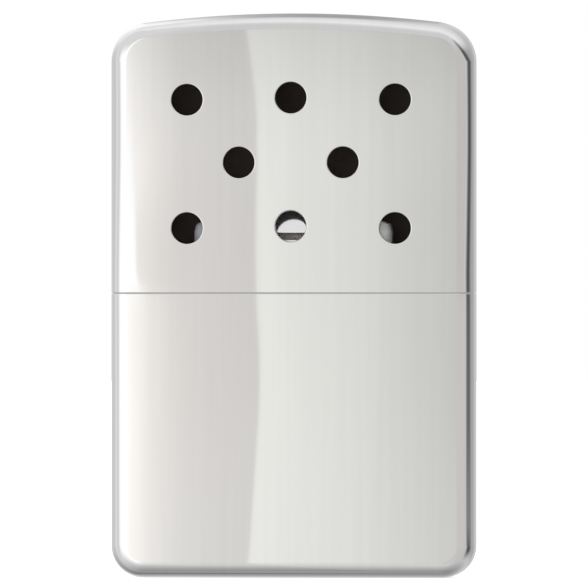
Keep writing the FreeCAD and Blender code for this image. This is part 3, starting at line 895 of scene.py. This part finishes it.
# its left end fades faster just above the seam
faster = light_ramp(height, (-0.02, 0), (0, 0), (0.02, 1), (0.3, 1), (0.5, 0.5), (0.65, 0.15), (0.8, 0),
                    (1, 0))
far_left = light_ramp(bearing, (CARD_LEFT, 1), (-10.5, 1), (-8.5, 0), (CARD_RIGHT, 0))
faster = add_node(sky, "Math", [faster, far_left], operation="MULTIPLY")
along_card = add_node(sky, "Math", [faster, math.radians(0.6), along_card], operation="MULTIPLY_ADD")
card = light_ramp(along_card, (CARD_LEFT, 1.5), (-12.15, 1.5), (-11.97, 1.42), (-11.83, 1.36, WARM),
                  (-11.6, 1.295), (-11.42, 1.265), (-11.26, 1.22), (-11.09, 1.17), (-10.85, 1.125),
                  (-10.6, 1.085), (-10.25, 1.035), (-9.95, 1.0), (-9.45, 0.95), (-8.55, 0.92),
                  (-6.56, 0.868), (-6.49, 1.12, EVEN), (-5.55, 1.09), (-4.55, 1.03), (-3.65, 1.02),
                  (-2.15, 0.952), (-1.25, 0.893), (0.25, 0.828), (1.25, 0.77), (CARD_RIGHT, 0.75),
                  most=STRONGEST)
# above the seam a bright pane with a round corner covers that end
pane_corner = light_ramp(height, (0, 1), (0.023, 1), (0.035, 0.59), (0.058, 0.41), (0.093, 0.31),
                         (0.14, 0.22), (0.4, 0.2), (0.55, 0.15), (0.84, 0.03), (1.2, 0))
along_pane = add_node(sky, "Math", [pane_corner, math.radians(-0.78), bearing], operation="MULTIPLY_ADD")
pane = light_ramp(along_pane, (-14, 1), (-11.81, 1), (-11.77, 0), (-11, 0))
pane_height = light_ramp(height, (-0.02, 0), (0.014, 0), (0.02, 1), (0.5, 0.95), (0.85, 0.75), (1.0, 0.3),
                         (1.2, 0))
pane = add_node(sky, "Math", [pane, pane_height], operation="MULTIPLY")
card = add_node(sky, "Mix", {"Factor": pane, "A": card, "B": (0.725, 0.725, 0.725, 1.0)}, data_type="RGBA")
# the card is more even near its top and its foot, and darker towards its top
evened = light_ramp(height, (-2, 0.17), (-1.4, 0.15), (-0.6, 0.0), (0.5, 0.0), (1.1, 0.17), (2, 0.2))
middle_light = (1.05 / STRONGEST, 1.05 / STRONGEST, 1.02 / STRONGEST, 1.0)
card = add_node(sky, "Mix", {"Factor": evened, "A": card, "B": middle_light}, data_type="RGBA")
card_height = light_ramp(height, (-2, 1.0), (-1, 0.99), (-0.3, 0.965), (0.84, 0.945), (1.1, 0.915),
                         (1.37, 0.85), (1.6, 0.785), (8, 0.755))
card = add_node(sky, "Mix", {"Factor": 1.0, "A": card, "B": card_height}, data_type="RGBA",
                blend_type="MULTIPLY")

# on the right the dark flag leans in as it rises, and a little as it falls; seen in the lid,
# the edges of the side lights lean to the right as they rise
on_right = light_ramp(bearing, (-180, 0), (10, 0), (30, 1), (150, 1), (175, 0), (180, 0))
on_left = light_ramp(bearing, (-180, 0), (-150, 1), (-35, 1), (-20, 0), (180, 0))
rising = add_node(sky, "Math", [height, 2.2], operation="MULTIPLY")
falling = add_node(sky, "Math", [height, -0.5], operation="MULTIPLY")
steep = add_node(sky, "Math", [rising, falling], operation="MAXIMUM")
side_lean = light_ramp(height, (-1.8, 0.4), (-1.7, 0.4), (-1.5, 0.25), (-1.3, 0.2), (-0.8, 0.15),
                       (-0.02, 0.1), (0.02, 0), (0.14, 0), (0.55, 0.46), (0.84, 0.76), (1.1, 0.76),
                       (1.35, 0.6), (1.6, 0.4), (1.8, 0.4))
right_lean = add_node(sky, "Math", [side_lean, on_right], operation="MULTIPLY")
left_lean = add_node(sky, "Math", [side_lean, on_left], operation="MULTIPLY")
leaning = add_node(sky, "Math", [steep, on_right, bearing], operation="MULTIPLY_ADD")
for share, degrees in ((on_right, 8), (right_lean, -20), (left_lean, -17)):
    leaning = add_node(sky, "Math", [share, math.radians(degrees), leaning], operation="MULTIPLY_ADD")
around = light_ramp(leaning, (-180, 0.62), (-174, 0.78), (-160, 0.72), (-135, 0.8), (-122, 0.75),
                    (-106, 0.77), (-96, 0.93), (-89, 0.99), (-83, 0.87), (-77, 0.8), (-72, 0.88),
                    (-68, 1.0), (-60, 1.26), (-52, 1.38), (-46, 1.45), (CARD_LEFT, 1.45),
                    (CARD_RIGHT, 0.71, WARM), (60, 0.705), (67, 0.76, PLAIN), (73, 0.58), (79, 0.25),
                    (87, 0.12), (94, 0.09), (100, 0.16), (107, 0.28), (117, 0.47), (130, 0.51), (147, 0.52),
                    (168, 0.58), (180, 0.62), most=STRONGEST)
# a little light falls on the flag, and between it and the card it is lighter below the seam
flag_light = light_ramp(height, (-1.7, 0), (-1.6, 0), (-1.5, 0.15), (-1.35, 0.3), (-1.1, 0.26),
                        (-0.8, 0.19), (-0.2, 0.16), (0, 0.13), (0.1, 0.07), (0.5, 0.03), (0.84, 0),
                        (0.9, 0), most=STRONGEST)
around = add_node(sky, "Mix", {"Factor": 1.0, "A": around, "B": flag_light}, data_type="RGBA",
                  blend_type="LIGHTEN")
beside_card = light_ramp(bearing, (CARD_LEFT, 0), (2.6, 0), (CARD_RIGHT, 1), (52, 1), (66, 0), (90, 0))
under_seam = light_ramp(height, (-2, 0.765, WARM), (-0.02, 0.755), (0, 0), (0.1, 0), most=STRONGEST)
around = add_node(sky, "Mix", {"Factor": beside_card, "A": around, "B": under_seam}, data_type="RGBA",
                  blend_type="LIGHTEN")
card_middle = math.radians((CARD_LEFT + CARD_RIGHT) / 2)
card_reach = math.radians((CARD_RIGHT - CARD_LEFT) / 2)
on_card = add_node(sky, "Math", [bearing, card_middle, card_reach], operation="COMPARE")
level = add_node(sky, "Mix", {"Factor": on_card, "A": around, "B": card}, data_type="RGBA")

# below, the lights fade into a dark floor
foot_lights = light_ramp(bearing, (-180, 1.0), (-160, 1.0), (-148, 0.75), (-130, 0.6), (-112, 0.6),
                         (-95, 0.8), (-80, 1.0), (-20, 1.0), (0, 0.95), (30, 0.85), (100, 0.9), (180, 1.0),
                         most=STRONGEST)
sinking = add_node(sky, "Math", [on_right, math.radians(6), height], operation="MULTIPLY_ADD")
sunk = add_node(sky, "MapRange", {"Value": sinking, "From Min": math.radians(-2),
                                  "From Max": math.radians(-32)}, interpolation_type="SMOOTHSTEP")
level = add_node(sky, "Mix", {"Factor": sunk, "A": level, "B": foot_lights}, data_type="RGBA")
left_foot = light_ramp(bearing, (-60, 0), (-40, 0.06), (-13, 0.15), (-7, 0.15), (-6.4, 0), (0, 0))
sinking = add_node(sky, "Math", [height, left_foot, height], operation="MULTIPLY_ADD")
below = light_ramp(sinking, (-90, 0.42), (-75, 0.4), (-65, 0.46), (-57, 0.54), (-50, 0.61), (-42, 0.7),
                   (-35, 0.78), (-28, 0.86), (-22, 0.9), (-15, 0.93), (-6, 0.97), (0, 1.0))
level = add_node(sky, "Mix", {"Factor": 1.0, "A": level, "B": below}, data_type="RGBA",
                 blend_type="MULTIPLY")

# above, a long light hangs across the front, and the back of the room is seen from side to side
to_the_left = add_node(sky, "Math", [sideways, 0.8], operation="MULTIPLY")
to_the_right = add_node(sky, "Math", [sideways, 0.3], operation="MULTIPLY")
lean_over = add_node(sky, "Math", [to_the_left, to_the_right], operation="MINIMUM")
leant_over = add_node(sky, "Math", [over, lean_over], operation="ADD")
overhead = light_ramp(leant_over, (0, 0.79), (30, 0.79), (38, 0.83), (45, 0.91), (52, 1.03), (58, 1.08),
                      (62, 1.07), (68, 1.03), (76, 1.0), (84, 0.95), (90, 0.88), most=STRONGEST)
far_side = add_node(sky, "MapRange", {"Value": sideways, "From Min": math.radians(-10),
                                      "From Max": math.radians(-15)}, interpolation_type="SMOOTHSTEP")
overhead = add_node(sky, "Mix", {"Factor": far_side, "A": overhead, "B": (0.45, 0.45, 0.45, 1.0)},
                    data_type="RGBA", blend_type="LIGHTEN")
behind = light_ramp(sideways, (-90, 0.75), (-64, 0.82), (-53, 1.03), (-40, 1.08), (-30, 1.25), (-15, 1.32),
                    (-11.5, 1.12), (-9.8, 0.86), (-7.5, 0.6), (-4.6, 0.48), (-1, 0.47), (1, 0.6), (3, 0.78),
                    (17, 0.82), (30, 0.72), (58, 0.7), (90, 0.6), most=STRONGEST)
backward = add_node(sky, "MapRange", {"Value": toward["Y"], "From Min": 0.0,
                                      "From Max": math.radians(17)}, interpolation_type="SMOOTHSTEP")
upper = add_node(sky, "Mix", {"Factor": backward, "A": overhead, "B": behind}, data_type="RGBA")
# the upper lights come down lowest in front
climb = light_ramp(bearing, (-180, 0.5), (-45, 0.5), (-15, 1.0), (5, 1.0), (30, 0.5), (180, 0.5))
risen = add_node(sky, "Math", [height, climb], operation="MULTIPLY")
risen = add_node(sky, "Math", [on_right, math.radians(-6), risen], operation="MULTIPLY_ADD")
above = add_node(sky, "MapRange", {"Value": risen, "From Min": math.radians(1.5),
                                   "From Max": math.radians(13)}, interpolation_type="SMOOTHSTEP")
everywhere = add_node(sky, "Mix", {"Factor": above, "A": level, "B": upper}, data_type="RGBA")

# the object mirrors the surround; the camera itself sees plain white behind it
surround = add_node(sky, "Background", {"Color": everywhere, "Strength": STRONGEST})
plain = add_node(sky, "Background", {"Color": linear("#FFFFFF"), "Strength": 1.0})
seen = add_node(sky, "LightPath", out="Is Camera Ray")
shown = add_node(sky, "MixShader", [seen, surround, plain])
add_node(sky, "OutputWorld", {"Surface": shown})

# pale studio paper: matt, and to the camera almost as white as the ground behind
FLOOR_HALF = 4.0
FLOOR_DROP = 0.00002
floor_mesh = bpy.data.meshes.new("studio_floor")
floor_ends = [(x * FLOOR_HALF, y * FLOOR_HALF, 0) for x, y in ((-1, -1), (1, -1), (1, 1), (-1, 1))]
floor_mesh.from_pydata(floor_ends, [], [(0, 1, 2, 3)])
floor = bpy.data.objects.new("studio_floor", floor_mesh)
scene.collection.objects.link(floor)
floor.location.z = -FLOOR_DROP
floor.visible_glossy = False
paper, paper_tree, paper_shader = new_material("pale_studio_paper", Base_Color=linear("#E9E9E7"),
                                               Roughness=0.9, Emission_Color=linear("#D0D0D0"))
feed(paper_shader, Emission_Strength=add_node(paper_tree, "LightPath", out="Is Camera Ray"))
floor_mesh.materials.append(paper)
